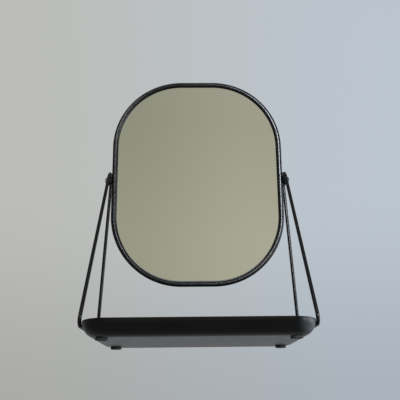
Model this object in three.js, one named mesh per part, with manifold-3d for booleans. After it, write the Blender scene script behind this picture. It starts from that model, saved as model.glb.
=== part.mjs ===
// Table-top vanity mirror: a rounded mirror that tilts between two triangular wire sides, over a shallow tray.
// Millimetres, +Z up, +X to the right of someone facing the glass, the glass facing -Y.
// The origin is on the resting plane, midway between the four feet.
import * as THREE from 'three';
import { mergeVertices } from 'three/addons/utils/BufferGeometryUtils.js';
import Module from 'manifold-3d';

// ---- driving dimensions ----
const FIT_GAP = 0.3; // between neighbouring pieces that are glued or screwed together

const TRAY = {
  halfWidth: 116, halfDepth: 66, rimTop: 18.5, bottom: 2, wallRadius: 16, cornerRadius: 26, sheet: 1.2,
};
const FOOT = { x: 95.2, y: 45, radius: 6.1, edge: 0.5 };
const WIRE = {
  radius: 2, bendRadius: 8.5, cornerRadius: 8, runHeight: 14.5, runHalfLength: 46.6,
  xAtPivot: 108, sides: 12, weldRadius: 2.2, weldLength: 3, endGap: 0.4,
};
const PIVOT = { height: 194, restTilt: 12 };
const FRAME = { width: 6.2, depth: 8, crown: 2, faceFlat: 0.1 };
const GLASS = { halfWidth: 98.6, halfHeight: 122.7, cornerRadius: 79.3, thickness: 3, front: -2 };
const TAPE = { halfLength: 62, width: 25, thickness: 1, pitch: 78 };
const PLATE = { thickness: 0.8 };
const NYLON = { outer: 5, bore: 2.15, thickness: 1.1 };
const EYE = { outer: WIRE.bendRadius - WIRE.radius - FIT_GAP, bore: 2.15, thickness: 3.2, chamfer: 0.4 };
const SPRING = { outer: 3.8, bore: 2.1, thickness: 0.8, split: 0.6 };
const SCREW = {
  shankRadius: 2, length: 9.8, headRadius: 4, headHeight: 3.1, headRim: 1.1,
  slotWidth: 1, slotDepth: 0.8, crossSpan: 4.4, crossWidth: 0.9, crossDepth: 1.8, slotAngle: 25,
};
const STACK_GAP = 0.1; // between the pieces threaded on a pivot screw
const ROUND = 24; // segments round a turned piece

// ---- finishes ----
const finishes = {
  powderCoat: { color: 0x111113, roughness: 0.42, metalness: 0 },
  rubber: { color: 0x181818, roughness: 0.8, metalness: 0 },
  silvered: { color: 0xd9dcd6, roughness: 0.02, metalness: 1 },
  foam: { color: 0xe6e4dc, roughness: 0.9, metalness: 0 },
  nylon: { color: 0x1c1c1d, roughness: 0.6, metalness: 0 },
  blackSteel: { color: 0x1a1a1b, roughness: 0.35, metalness: 0.6 },
};

function piece(name, geometry, finish) {
  const mesh = new THREE.Mesh(geometry, new THREE.MeshStandardMaterial(finishes[finish]));
  mesh.name = name;
  return mesh;
}

// ---- solids that are cut or joined ----
const wasm = await Module();
wasm.setup();

function solid(geometry) {
  const bare = geometry.clone();
  bare.deleteAttribute('normal');
  bare.deleteAttribute('uv');
  const merged = mergeVertices(bare, 1e-4);
  return new wasm.Manifold(new wasm.Mesh({
    numProp: 3,
    vertProperties: new Float32Array(merged.attributes.position.array),
    triVerts: new Uint32Array(merged.index.array),
  }));
}

function geometryOf(manifold) {
  const mesh = manifold.getMesh();
  const geometry = new THREE.BufferGeometry();
  geometry.setAttribute('position', new THREE.BufferAttribute(new Float32Array(mesh.vertProperties), 3));
  geometry.setIndex(new THREE.BufferAttribute(new Uint32Array(mesh.triVerts), 1));
  geometry.computeVertexNormals();
  return geometry;
}

function box(size, centre) {
  return new THREE.BoxGeometry(...size).translate(...centre);
}

// ---- outlines ----
function roundedOutline(halfWidth, halfHeight, radius, Outline = THREE.Shape) {
  const outline = new Outline();
  const [x, y] = [halfWidth - radius, halfHeight - radius];
  outline.moveTo(halfWidth, -y);
  outline.absarc(x, y, radius, 0, Math.PI / 2);
  outline.absarc(-x, y, radius, Math.PI / 2, Math.PI);
  outline.absarc(-x, -y, radius, Math.PI, 1.5 * Math.PI);
  outline.absarc(x, -y, radius, 1.5 * Math.PI, 2 * Math.PI);
  return outline;
}

// A turned ring about X from x = 0 to x = thickness, with its outer edges chamfered.
function turnedRing(bore, outer, thickness, chamfer = 0) {
  const profile = [[bore, 0], [outer - chamfer, 0]];
  if (chamfer) profile.push([outer, chamfer], [outer, thickness - chamfer]);
  profile.push([outer - chamfer, thickness], [bore, thickness], [bore, 0]);
  const points = profile.map(([r, h]) => new THREE.Vector2(r, h));
  return new THREE.LatheGeometry(points, ROUND).rotateZ(-Math.PI / 2);
}

// ---- tray ----
// A rounded block whose lower edge is a quarter circle in section.
function dishBlock(inset) {
  const radius = TRAY.wallRadius - inset;
  const outline = roundedOutline(TRAY.halfWidth - inset, TRAY.halfDepth - inset, TRAY.cornerRadius - inset);
  return new THREE.ExtrudeGeometry(outline, {
    depth: TRAY.rimTop, curveSegments: 6,
    bevelEnabled: true, bevelSize: radius, bevelThickness: radius, bevelOffset: -radius, bevelSegments: 7,
  }).translate(0, 0, TRAY.bottom + inset + radius);
}

function trayGeometry() {
  const above = box([300, 200, 100], [0, 0, TRAY.rimTop + 50]);
  const dish = solid(dishBlock(0)).subtract(solid(dishBlock(TRAY.sheet))).subtract(solid(above));
  return geometryOf(dish);
}

function footGeometry() {
  const { radius, edge } = FOOT;
  const profile = [[0, 0], [radius - edge, 0], [radius, edge], [radius, TRAY.bottom], [0, TRAY.bottom]];
  const points = profile.map(([r, z]) => new THREE.Vector2(r, z));
  return new THREE.LatheGeometry(points, ROUND).rotateX(Math.PI / 2);
}

// ---- side wires ----
// A path through given stations, so that straight runs take one step and bends take many.
class StationPath extends THREE.Curve {
  constructor(stations) {
    super();
    this.stations = stations;
  }

  getPoint(t) {
    const place = t * (this.stations.length - 1);
    const index = Math.min(Math.floor(place), this.stations.length - 2);
    const [from, to] = [this.stations[index], this.stations[index + 1]];
    return from.point.clone().lerp(to.point, place - index);
  }

  getTangent(t) {
    const index = Math.round(t * (this.stations.length - 1));
    return this.stations[index].tangent.clone();
  }

  getPointAt(u) {
    return this.getPoint(u);
  }

  getTangentAt(u) {
    return this.getTangent(u);
  }

  getSpacedPoints(divisions) {
    return this.getPoints(divisions);
  }
}

// How far the plane of a side wire leans, so that its run passes just outside the tray's rim.
const WIRE_LEAN = Math.atan(
  (TRAY.halfWidth + WIRE.radius + FIT_GAP - WIRE.xAtPivot) / (PIVOT.height - TRAY.rimTop),
);

// Stations of the wire in its own plane: Y across, Z up the lean, the pivot at the origin.
function wireStations() {
  const runZ = -(PIVOT.height - WIRE.runHeight) / Math.cos(WIRE_LEAN);
  const vertex = new THREE.Vector2(WIRE.runHalfLength, runZ);
  const legAngle = Math.atan2(vertex.x, -runZ) - Math.asin(WIRE.bendRadius / vertex.length());
  const cornerTurn = Math.PI / 2 + legAngle; // a leg leans out, so its corner turns more than a right angle
  const setback = WIRE.cornerRadius * Math.tan(cornerTurn / 2);
  const cornerY = WIRE.runHalfLength - setback;
  const cornerZ = runZ + WIRE.cornerRadius;
  const stations = [];
  const add = (y, z, ty, tz) => stations.push({
    point: new THREE.Vector3(0, y, z), tangent: new THREE.Vector3(0, ty, tz).normalize(),
  });
  const arc = (y, z, radius, start, turn, steps) => {
    for (let step = 0; step <= steps; step += 1) {
      const angle = start + (turn * step) / steps;
      add(y + radius * Math.cos(angle), z + radius * Math.sin(angle), -Math.sin(angle), Math.cos(angle));
    }
  };
  add(WIRE.endGap / 2, runZ, 1, 0);
  arc(cornerY, cornerZ, WIRE.cornerRadius, -Math.PI / 2, cornerTurn, 8);
  arc(0, 0, WIRE.bendRadius, legAngle, Math.PI - 2 * legAngle, 12);
  arc(-cornerY, cornerZ, WIRE.cornerRadius, Math.PI - legAngle, cornerTurn, 8);
  add(-WIRE.endGap / 2, runZ, 1, 0);
  return { stations, runZ };
}

function sideWireGeometry() {
  const { stations, runZ } = wireStations();
  const section = new THREE.Shape();
  for (let side = 0; side < WIRE.sides; side += 1) {
    const angle = (2 * Math.PI * side) / WIRE.sides;
    section[side ? 'lineTo' : 'moveTo'](WIRE.radius * Math.cos(angle), WIRE.radius * Math.sin(angle));
  }
  const loop = new THREE.ExtrudeGeometry(section, {
    steps: stations.length - 1, extrudePath: new StationPath(stations), curveSegments: 1,
  });
  const { weldRadius, weldLength } = WIRE;
  const bead = [[0, -1], [0.8, -1], [1, -0.4], [1, 0.4], [0.8, 1], [0, 1]]
    .map(([r, y]) => new THREE.Vector2(r * weldRadius, (y * weldLength) / 2));
  const weld = new THREE.LatheGeometry(bead, WIRE.sides).translate(0, 0, runZ);
  return geometryOf(solid(loop).add(solid(weld)));
}

// ---- mirror ----
function frameGeometry() {
  const { width, depth, crown, faceFlat } = FRAME;
  const [innerW, innerH] = [GLASS.halfWidth + FIT_GAP, GLASS.halfHeight + FIT_GAP];
  const innerR = GLASS.cornerRadius + FIT_GAP;
  const outline = roundedOutline(innerW + width, innerH + width, innerR + width);
  outline.holes.push(roundedOutline(innerW, innerH, innerR, THREE.Path));
  const edge = (width - faceFlat) / 2;
  const ring = new THREE.ExtrudeGeometry(outline, {
    depth: depth - 2 * crown, curveSegments: 6,
    bevelEnabled: true, bevelSize: edge, bevelThickness: crown, bevelOffset: -edge, bevelSegments: 4,
  }).translate(0, 0, -(depth - 2 * crown) / 2).rotateX(Math.PI / 2);
  let body = solid(ring);
  for (const side of [-1, 1]) {
    const tap = new THREE.CylinderGeometry(
      SCREW.shankRadius + 0.2, SCREW.shankRadius + 0.2, width, ROUND,
    ).rotateZ(Math.PI / 2).translate(side * (innerW + 1 + width / 2), 0, 0);
    body = body.subtract(solid(tap));
  }
  return geometryOf(body);
}

// A sheet with the glass's outline, from local y = front to front + thickness.
function sheetGeometry(front, thickness) {
  const outline = roundedOutline(GLASS.halfWidth, GLASS.halfHeight, GLASS.cornerRadius);
  return new THREE.ExtrudeGeometry(outline, { depth: thickness, curveSegments: 6, bevelEnabled: false })
    .rotateX(Math.PI / 2).translate(0, front + thickness, 0);
}

function screwGeometry() {
  const { shankRadius, length, headRadius, headHeight, headRim } = SCREW;
  const profile = [
    [0, -length], [shankRadius - 0.4, -length], [shankRadius, 0.4 - length], [shankRadius, 0],
    [headRadius, 0], [headRadius, headRim],
  ];
  const crownSteps = 4;
  for (let step = 1; step <= crownSteps; step += 1) {
    const angle = (Math.PI / 2) * (step / crownSteps);
    profile.push([headRadius * Math.cos(angle), headRim + (headHeight - headRim) * Math.sin(angle)]);
  }
  profile[profile.length - 1][0] = 0;
  const points = profile.map(([r, h]) => new THREE.Vector2(r, h));
  let body = solid(new THREE.LatheGeometry(points, ROUND));
  const top = headHeight + 1;
  const cuts = [
    [2 * headRadius + 1, SCREW.slotDepth, SCREW.slotWidth],
    [SCREW.crossSpan, SCREW.crossDepth, SCREW.crossWidth],
    [SCREW.crossWidth, SCREW.crossDepth, SCREW.crossSpan],
  ];
  for (const [x, depth, z] of cuts) {
    body = body.subtract(solid(box([x, depth + 1, z], [0, top - (depth + 1) / 2, 0])));
  }
  // The slot lies along Z in the head, then the screw is laid along X with its head outwards.
  return geometryOf(body)
    .rotateY(THREE.MathUtils.degToRad(90 - SCREW.slotAngle))
    .rotateZ(-Math.PI / 2);
}

function springWasherGeometry() {
  const { outer, bore, thickness, split } = SPRING;
  const gap = box([thickness + 2, outer + 1, split], [thickness / 2, -(outer + 1) / 2, 0]);
  return geometryOf(solid(turnedRing(bore, outer, thickness)).subtract(solid(gap)));
}

// ---- assembly ----
const part = new THREE.Group();
const sides = [{ name: 'left', sign: -1 }, { name: 'right', sign: 1 }];
const rows = [{ name: 'front', sign: -1 }, { name: 'back', sign: 1 }];

part.add(piece('tray', trayGeometry(), 'powderCoat'));
for (const row of rows) {
  for (const side of sides) {
    const foot = piece(`foot_${row.name}_${side.name}`, footGeometry(), 'rubber');
    foot.position.set(side.sign * FOOT.x, row.sign * FOOT.y, 0);
    part.add(foot);
  }
}

// Where each piece on the right pivot screw starts, counted outwards from the frame's side.
const frameSide = GLASS.halfWidth + FIT_GAP + FRAME.width;
const nylonX = frameSide + STACK_GAP;
const eyeX = nylonX + NYLON.thickness + STACK_GAP;
const springX = eyeX + EYE.thickness + STACK_GAP;
const headX = springX + SPRING.thickness + STACK_GAP;

const mirror = new THREE.Group();
mirror.position.set(0, 0, PIVOT.height);
mirror.rotation.x = THREE.MathUtils.degToRad(PIVOT.restTilt);
part.add(mirror);

for (const side of sides) {
  const pivot = new THREE.Group(); // everything on one pivot screw, built for the right and turned for the left
  pivot.position.set(0, 0, PIVOT.height);
  const tilting = new THREE.Group();
  if (side.sign < 0) {
    pivot.rotation.z = Math.PI;
    tilting.rotation.z = Math.PI;
  }
  const wire = piece(`side_wire_${side.name}`, sideWireGeometry(), 'powderCoat');
  wire.position.set(WIRE.xAtPivot, 0, 0);
  wire.rotation.y = -WIRE_LEAN;
  const eye = piece(`pivot_eye_${side.name}`, turnedRing(EYE.bore, EYE.outer, EYE.thickness, EYE.chamfer), 'powderCoat');
  eye.position.x = eyeX;
  const nylon = piece(`nylon_washer_${side.name}`, turnedRing(NYLON.bore, NYLON.outer, NYLON.thickness), 'nylon');
  nylon.position.x = nylonX;
  pivot.add(wire, eye, nylon);
  part.add(pivot);

  const spring = piece(`spring_washer_${side.name}`, springWasherGeometry(), 'blackSteel');
  spring.position.x = springX;
  const screw = piece(`pivot_screw_${side.name}`, screwGeometry(), 'blackSteel');
  screw.position.x = headX;
  tilting.add(spring, screw);
  mirror.add(tilting);
}

mirror.add(piece('mirror_frame', frameGeometry(), 'powderCoat'));
mirror.add(piece('mirror_glass', sheetGeometry(GLASS.front, GLASS.thickness), 'silvered'));
const tapeFront = GLASS.front + GLASS.thickness + FIT_GAP;
['top', 'middle', 'bottom'].forEach((name, index) => {
  const size = [2 * TAPE.halfLength, TAPE.thickness, TAPE.width];
  const strip = box(size, [0, tapeFront + TAPE.thickness / 2, (1 - index) * TAPE.pitch]);
  mirror.add(piece(`glass_tape_${name}`, strip, 'foam'));
});
mirror.add(piece('back_plate', sheetGeometry(tapeFront + TAPE.thickness + FIT_GAP, PLATE.thickness), 'powderCoat'));

export default part;
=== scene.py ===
"""Dresses a table-top vanity mirror: a tilting mirror between two wire hoops, over a shallow tray.

Every length is in metres. +Z is up, the glass faces -Y, and +X is to the right of someone who faces it.
"""
import logging
import math
from dataclasses import dataclass, field
from enum import Enum
from typing import Any, Callable, Sequence

import bmesh
import bpy
from bmesh.types import BMesh
from bpy.types import ID, Collection, Material, Mesh, Node, NodesModifier, NodeSocket, NodeTree, Object
from mathutils import Matrix, Vector


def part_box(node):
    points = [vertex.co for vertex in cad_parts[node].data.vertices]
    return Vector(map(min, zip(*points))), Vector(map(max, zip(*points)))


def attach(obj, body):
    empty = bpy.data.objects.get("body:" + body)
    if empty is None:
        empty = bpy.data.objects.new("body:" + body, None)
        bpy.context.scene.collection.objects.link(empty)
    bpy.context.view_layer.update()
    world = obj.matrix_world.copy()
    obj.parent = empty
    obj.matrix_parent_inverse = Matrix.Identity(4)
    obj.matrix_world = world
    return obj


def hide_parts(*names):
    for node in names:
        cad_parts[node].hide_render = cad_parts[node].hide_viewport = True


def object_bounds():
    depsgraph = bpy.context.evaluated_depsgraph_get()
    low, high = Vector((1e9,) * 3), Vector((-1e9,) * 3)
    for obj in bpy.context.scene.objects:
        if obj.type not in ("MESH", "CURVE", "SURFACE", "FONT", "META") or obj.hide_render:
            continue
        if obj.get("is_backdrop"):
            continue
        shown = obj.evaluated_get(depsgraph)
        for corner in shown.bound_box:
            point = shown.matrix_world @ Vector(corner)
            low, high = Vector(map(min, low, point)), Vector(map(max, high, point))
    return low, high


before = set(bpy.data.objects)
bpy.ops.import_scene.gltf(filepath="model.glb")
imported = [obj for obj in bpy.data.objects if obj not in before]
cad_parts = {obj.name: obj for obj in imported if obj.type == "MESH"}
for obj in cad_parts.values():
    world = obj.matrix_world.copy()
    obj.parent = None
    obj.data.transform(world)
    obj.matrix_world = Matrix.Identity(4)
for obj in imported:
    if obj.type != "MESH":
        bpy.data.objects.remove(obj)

CAD_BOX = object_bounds()
MM = 0.001
CREASE = 32.0  # edges sharper than this, in degrees, stay sharp
MERGE_DISTANCE = 1e-7
WORN = "worn"  # point attribute: 1 on the edges that hands and shelves rub
SWELL = "swell"  # point attribute: how many times its own section a bar is thick there
TURN = "turn"  # point attribute: the turn of the piece that is set out there

Tint = tuple[float, float, float]
Colour = tuple[float, float, float, float]

log = logging.getLogger("vanity_mirror")


class Side(Enum):
    """The two ends of the mirror, by the sign of X."""

    LEFT = -1
    RIGHT = 1


class Lay(Enum):
    """Which way a piece that was drawn round the Z axis is laid, as its X, Y and Z axes then lie."""

    ALONG_X = ((0, 1, 0), (0, 0, 1), (1, 0, 0))
    FACING_FRONT = ((1, 0, 0), (0, 0, 1), (0, -1, 0))

    def matrix(self) -> Matrix:
        """The turn from the drawing's own axes to the laid ones."""
        return Matrix(self.value).transposed().to_4x4()


@dataclass(frozen=True)
class Station:
    """One point of a section: how far out it is, how high, and how much it is rubbed."""

    out: float
    up: float
    worn: float = 0.0


def arc(out: float, up: float, radius: float, start: float, end: float, steps: int,
        worn: float = 0.0, rise: float | None = None) -> list[Station]:
    """Stations along an arc.

    Args:
        out: The centre's distance out.
        up: The centre's height.
        radius: The radius, or its outward half when rise is given.
        start: The first angle in degrees, from outwards towards up.
        end: The last angle in degrees.
        steps: How many chords the arc has.
        worn: How much the arc is rubbed, from 0 to 1.
        rise: The upward half of an ellipse, in place of the radius.

    Returns:
        The stations, both ends included.
    """
    high = radius if rise is None else rise
    angles = [math.radians(start + (end - start) * step / steps) for step in range(steps + 1)]
    return [Station(out + radius * math.cos(a), up + high * math.sin(a), worn) for a in angles]


@dataclass
class DrawnOut:
    """A section turned round the Z axis, or drawn round a rounded rectangle.

    The core is the rectangle through the centres of the corners. With no core, the solid is a plain
    turned one.
    """

    section: Sequence[Station]
    core: tuple[float, float] = (0.0, 0.0)
    corner_steps: int = 24
    closed: bool = False
    shape: Callable[[float, Station], float] | None = None

    def ring(self, station: Station) -> list[tuple[float, float, float]]:
        """The points that one station makes on its way round.

        Args:
            station: The section's point.

        Returns:
            The points, anticlockwise from +X.
        """
        core_x, core_y = self.core
        turned = core_x == 0 and core_y == 0
        points = []
        for corner in range(4):
            centre_x = core_x if corner in (0, 3) else -core_x
            centre_y = core_y if corner in (0, 1) else -core_y
            last = self.corner_steps if turned else self.corner_steps + 1
            for step in range(last):
                angle = math.radians(90 * (corner + step / self.corner_steps))
                out = station.out if self.shape is None else self.shape(angle, station)
                x = centre_x + out * math.cos(angle)
                y = centre_y + out * math.sin(angle)
                points.append((x, y, station.up))
        return points

    def mesh(self) -> BMesh:
        """Makes the closed mesh.

        Returns:
            The mesh, its normals outwards and its rubbed edges marked.
        """
        shell = bmesh.new()
        worn = shell.verts.layers.float.new(WORN)
        rings = []
        for station in self.section:
            row = [shell.verts.new(point) for point in self.ring(station)]
            for vert in row:
                vert[worn] = station.worn
            rings.append(row)
        pairs = list(zip(rings, rings[1:]))
        if self.closed:
            pairs.append((rings[-1], rings[0]))
        for low, high in pairs:
            for i in range(len(low)):
                j = (i + 1) % len(low)
                shell.faces.new((low[i], low[j], high[j], high[i]))
        if not self.closed:
            shell.faces.new(rings[0])
            shell.faces.new(rings[-1])
        bmesh.ops.remove_doubles(shell, verts=shell.verts, dist=MERGE_DISTANCE)
        bmesh.ops.recalc_face_normals(shell, faces=shell.faces)
        return shell


def add_object(name: str, data: ID) -> Object:
    """Adds an object to the scene.

    Args:
        name: The object's name.
        data: Its mesh, light or camera.

    Returns:
        The object.
    """
    item = bpy.data.objects.new(name, data)
    bpy.context.scene.collection.objects.link(item)
    return item


def shade_smooth(mesh: Mesh, crease: float) -> None:
    """Shades a mesh smooth, save across its sharp edges.

    Args:
        mesh: The mesh.
        crease: Edges sharper than this angle, in degrees, stay sharp.
    """
    for polygon in mesh.polygons:
        polygon.use_smooth = True
    mesh.set_sharp_from_angle(angle=math.radians(crease))


def new_piece(name: str, shell: BMesh, place: Matrix, *finishes: Material,
              crease: float = CREASE) -> Object:
    """Turns a bmesh into a piece whose object sits at the origin.

    Args:
        name: The piece's name.
        shell: The mesh, which is freed.
        place: Where the mesh goes in the model.
        finishes: The piece's materials, in slot order.
        crease: Edges sharper than this angle, in degrees, stay sharp.

    Returns:
        The new object, linked to the scene.
    """
    mesh = bpy.data.meshes.new(name)
    shell.to_mesh(mesh)
    shell.free()
    mesh.transform(place)
    for finish in finishes:
        mesh.materials.append(finish)
    shade_smooth(mesh, crease)
    log.info("%s: %d faces", name, len(mesh.polygons))
    return add_object(name, mesh)


def cut(piece: Object, cutters: Sequence[Object]) -> None:
    """Cuts the cutters out of a piece and removes them.

    Args:
        piece: The piece, at the origin.
        cutters: Closed meshes, each at the origin.
    """
    for cutter in cutters:
        modifier = piece.modifiers.new("cut", "BOOLEAN")
        modifier.operation = "DIFFERENCE"
        modifier.solver = "EXACT"
        modifier.object = cutter
    settle(piece)
    for cutter in cutters:
        bpy.data.objects.remove(cutter)


def settle(piece: Object) -> None:
    """Replaces a piece's mesh by what its modifiers make of it, and removes the modifiers.

    Args:
        piece: The piece, which keeps the name of its mesh.
    """
    graph = bpy.context.evaluated_depsgraph_get()
    mesh = bpy.data.meshes.new_from_object(piece.evaluated_get(graph), preserve_all_data_layers=True,
                                           depsgraph=graph)
    piece.modifiers.clear()
    old, piece.data = piece.data, mesh
    name = old.name
    bpy.data.meshes.remove(old)
    mesh.name = name
    shade_smooth(mesh, CREASE)


def block(name: str, size: Vector, place: Matrix) -> Object:
    """Makes a plain block that is used only as a cutter.

    Args:
        name: The block's name.
        size: Its size along its own axes.
        place: Where its middle goes, and how it is turned.

    Returns:
        The block.
    """
    shell = bmesh.new()
    bmesh.ops.create_cube(shell, size=1.0, matrix=place @ Matrix.Diagonal((*size, 1.0)))
    return new_piece(name, shell, Matrix.Identity(4))


def sheet(half: float) -> BMesh:
    """Makes a flat square face about the origin, for the studio.

    Args:
        half: Half its side.

    Returns:
        The mesh.
    """
    shell = bmesh.new()
    bmesh.ops.create_grid(shell, x_segments=1, y_segments=1, size=half)
    return shell


class Wiring:
    """Adds nodes to a tree and joins them by the names or identifiers of their sockets."""

    def __init__(self, tree: NodeTree) -> None:
        """Takes the tree that the nodes go into."""
        self.tree = tree

    def add(self, kind: str, inputs: dict[str, Any] | None = None, **settings: Any) -> Node:
        """Adds one node.

        Args:
            kind: The node's type.
            inputs: A value or an output socket for each named input.
            settings: The node's own properties.

        Returns:
            The node.
        """
        node = self.tree.nodes.new(kind)
        for key, value in settings.items():
            setattr(node, key, value)
        for key, value in (inputs or {}).items():
            self.feed(node, key, value)
        return node

    def calculate(self, operation: str, first: Any, second: Any) -> NodeSocket:
        """One sum of two numbers.

        Args:
            operation: The Math node's operation.
            first: A number or an output socket.
            second: A number or an output socket.

        Returns:
            The result's socket.
        """
        node = self.add("ShaderNodeMath", {"Value": first, "Value_001": second}, operation=operation)
        return node.outputs["Value"]

    def blend(self, share: NodeSocket, low: Any, high: Any) -> NodeSocket:
        """A colour or a number between two others.

        Args:
            share: How much of the second there is, from 0 to 1.
            low: A colour, a number or an output socket.
            high: A number where the blend is of numbers, or else a colour or its output socket.

        Returns:
            The result's socket.
        """
        kind, suffix = ("FLOAT", "Float") if isinstance(high, float) else ("RGBA", "Color")
        node = self.add("ShaderNodeMix", {
            "Factor_Float": share, f"A_{suffix}": low, f"B_{suffix}": high,
        }, data_type=kind)
        return socket_of(node.outputs, f"Result_{suffix}")

    def shade(self, colour: NodeSocket, brightness: NodeSocket) -> NodeSocket:
        """A colour times a brightness.

        Args:
            colour: The colour's socket.
            brightness: The number's socket.

        Returns:
            The result's socket.
        """
        node = self.add("ShaderNodeMix", {
            "Factor_Float": 1.0, "A_Color": colour, "B_Color": brightness,
        }, data_type="RGBA", blend_type="MULTIPLY")
        return socket_of(node.outputs, "Result_Color")

    def ramp(self, value: NodeSocket, start: float, end: float, low: float = 0.0,
             high: float = 1.0, eased: bool = True) -> NodeSocket:
        """A number that goes from low to high as another goes from its start to its end.

        Args:
            value: The other number's socket.
            start: The other number's value where the result is low.
            end: The other number's value where the result is high.
            low: The result up to the start.
            high: The result from the end on.
            eased: Whether the change sets in and ends gently.

        Returns:
            The result's socket.
        """
        node = self.add("ShaderNodeMapRange", {
            "Value": value, "From Min": start, "From Max": end, "To Min": low, "To Max": high,
        }, interpolation_type="SMOOTHSTEP" if eased else "LINEAR")
        return node.outputs["Result"]

    def feed(self, node: Node, key: str, value: Any) -> None:
        """Joins a socket to an input, or sets the input's own value.

        Args:
            node: The node.
            key: The input's identifier or name.
            value: A value or an output socket.
        """
        target = socket_of(node.inputs, key)
        if isinstance(value, NodeSocket):
            self.tree.links.new(value, target)
        else:
            target.default_value = value


def socket_of(sockets: Any, key: str) -> NodeSocket:
    """Finds a socket.

    Args:
        sockets: A node's inputs or outputs.
        key: The socket's identifier or name.

    Returns:
        The socket with that identifier, or else with that name.
    """
    for socket in sockets:
        if socket.identifier == key:
            return socket
    return sockets[key]


def new_group(name: str, kind: str, inputs: dict[str, tuple[str, Any]],
              outputs: dict[str, str]) -> tuple[Wiring, Node, Node]:
    """Starts a node group.

    Args:
        name: The group's name.
        kind: ShaderNodeTree or GeometryNodeTree.
        inputs: The socket type and default of each named input.
        outputs: The socket type of each named output.

    Returns:
        The wiring of its tree, its input node and its output node.
    """
    tree = bpy.data.node_groups.new(name, kind)
    for label, (socket_type, default) in inputs.items():
        socket = tree.interface.new_socket(name=label, in_out="INPUT", socket_type=socket_type)
        if default is not None:
            socket.default_value = default
    for label, socket_type in outputs.items():
        tree.interface.new_socket(name=label, in_out="OUTPUT", socket_type=socket_type)
    wiring = Wiring(tree)
    return wiring, wiring.add("NodeGroupInput"), wiring.add("NodeGroupOutput")


# ---- shapes that follow a path or repeat ----


class BentBar:
    """A bar of one section bent along a closed path, as a Geometry Nodes tree."""

    def __init__(self) -> None:
        """Builds the tree."""
        wiring, given, result = new_group(
            "Bent Bar", "GeometryNodeTree",
            {
                "Path": ("NodeSocketGeometry", None),
                "Section": ("NodeSocketObject", None),
                "Finish": ("NodeSocketMaterial", None),
            },
            {"Bar": "NodeSocketGeometry"},
        )
        path = wiring.add("GeometryNodeMeshToCurve", {"Mesh": given.outputs["Path"]})
        flat = wiring.add("GeometryNodeSetCurveNormal", {"Curve": path.outputs["Curve"]}, mode="Z_UP")
        drawing = wiring.add("GeometryNodeObjectInfo", {"Object": given.outputs["Section"]})
        section = wiring.add("GeometryNodeMeshToCurve", {"Mesh": drawing.outputs["Geometry"]})
        swell = wiring.add("GeometryNodeInputNamedAttribute", {"Name": SWELL}, data_type="FLOAT")
        bar = wiring.add("GeometryNodeCurveToMesh", {
            "Curve": flat.outputs["Curve"], "Profile Curve": section.outputs["Curve"],
            "Scale": swell.outputs["Attribute"],
        })
        smooth = wiring.add("GeometryNodeSetShadeSmooth", {"Geometry": bar.outputs["Mesh"]})
        real = wiring.add("GeometryNodeRealizeInstances", {"Geometry": smooth.outputs["Geometry"]})
        coated = wiring.add("GeometryNodeSetMaterial", {
            "Geometry": real.outputs["Geometry"], "Material": given.outputs["Finish"],
        })
        wiring.feed(result, "Bar", coated.outputs["Geometry"])
        self.tree = wiring.tree

    def bend(self, name: str, path: Sequence[tuple[float, float]], swell: Sequence[float],
             section: Sequence[tuple[float, float]], finish: Material,
             place: Matrix) -> Object:
        """Bends one bar.

        Args:
            name: The piece's name.
            path: The closed path's points in its own plane.
            swell: The bar's thickness at each point, in times its section.
            section: The closed section, across the path's plane and out of it.
            finish: The bar's material.
            place: Where the path's plane lies in the model.

        Returns:
            The finished piece.
        """
        host = loop_object(name, path)
        attribute = host.data.attributes.new(SWELL, "FLOAT", "POINT")
        attribute.data.foreach_set("value", swell)
        drawing = loop_object(name + "_section", section)
        modifier = host.modifiers.new("bent bar", "NODES")
        modifier.node_group = self.tree
        set_inputs(modifier, {"Section": drawing, "Finish": finish})
        settle(host)
        bpy.data.objects.remove(drawing)
        shell = bmesh.new()
        shell.from_mesh(host.data)
        bpy.data.objects.remove(host)
        bmesh.ops.recalc_face_normals(shell, faces=shell.faces)
        return new_piece(name, shell, place, finish)


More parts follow.
